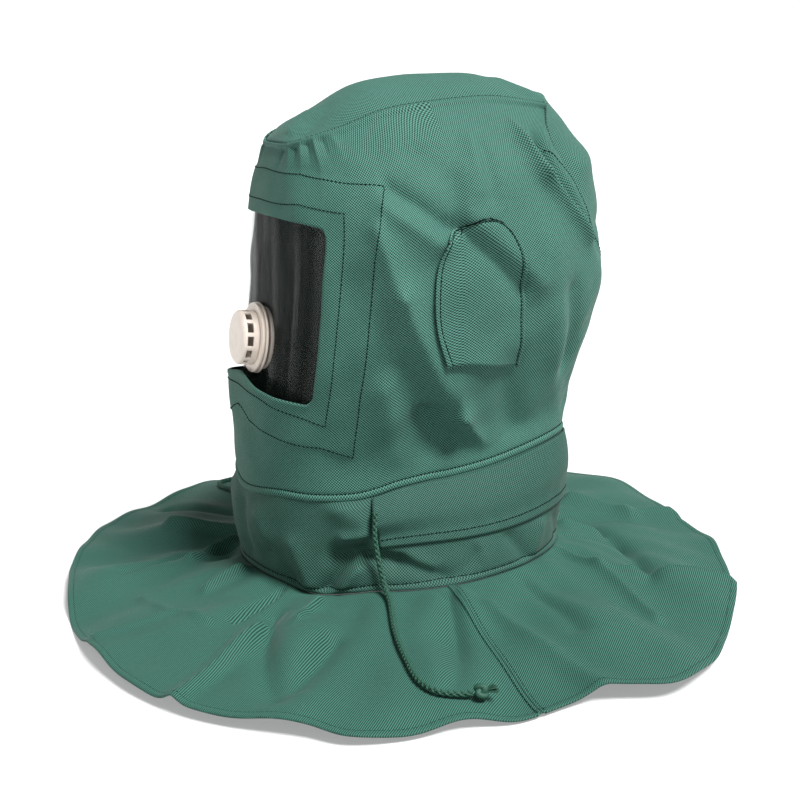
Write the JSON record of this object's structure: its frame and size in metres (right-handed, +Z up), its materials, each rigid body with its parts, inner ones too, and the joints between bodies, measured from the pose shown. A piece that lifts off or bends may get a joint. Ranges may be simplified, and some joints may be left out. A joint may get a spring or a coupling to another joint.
{
  "type": "sandblasting hood",
  "caption": "Cloth blasting hood with a clear wrap-round window, an exhaust valve, ear flaps, a gathered neck band with draw cord and a shoulder cape.",
  "frame": {"origin": "head seat: the inner face of the crown strip, straight above the centre of the neck", "axes": "+Z up, the window faces -Y, and the wearer's left side is +X"},
  "size_m": [0.5566, 0.5368, 0.3855],
  "materials": {
    "hood_cloth": "coarse woven cloth with a slight sheen",
    "cape_cloth": "fine woven cloth with a slight sheen",
    "clear_sheet": "clear flexible plastic sheet",
    "valve_plastic": "cream moulded plastic",
    "cord": "braided cord"
  },
  "bodies": {
    "root": {"hood_panel": "hood_cloth", "crown_strip": "hood_cloth", "neck_band": "hood_cloth", "cord_casing": "hood_cloth", "cape_front": "cape_cloth", "cape_back": "cape_cloth", "ear_flap_left": "hood_cloth", "ear_flap_right": "hood_cloth", "window_sheet": "clear_sheet", "valve_flange": "valve_plastic", "valve_ring": "valve_plastic", "valve_cap": "valve_plastic", "draw_cord_left": "cord", "draw_cord_right": "cord", "cord_knot_left": "cord", "cord_knot_right": "cord"}
  },
  "joints": []
}
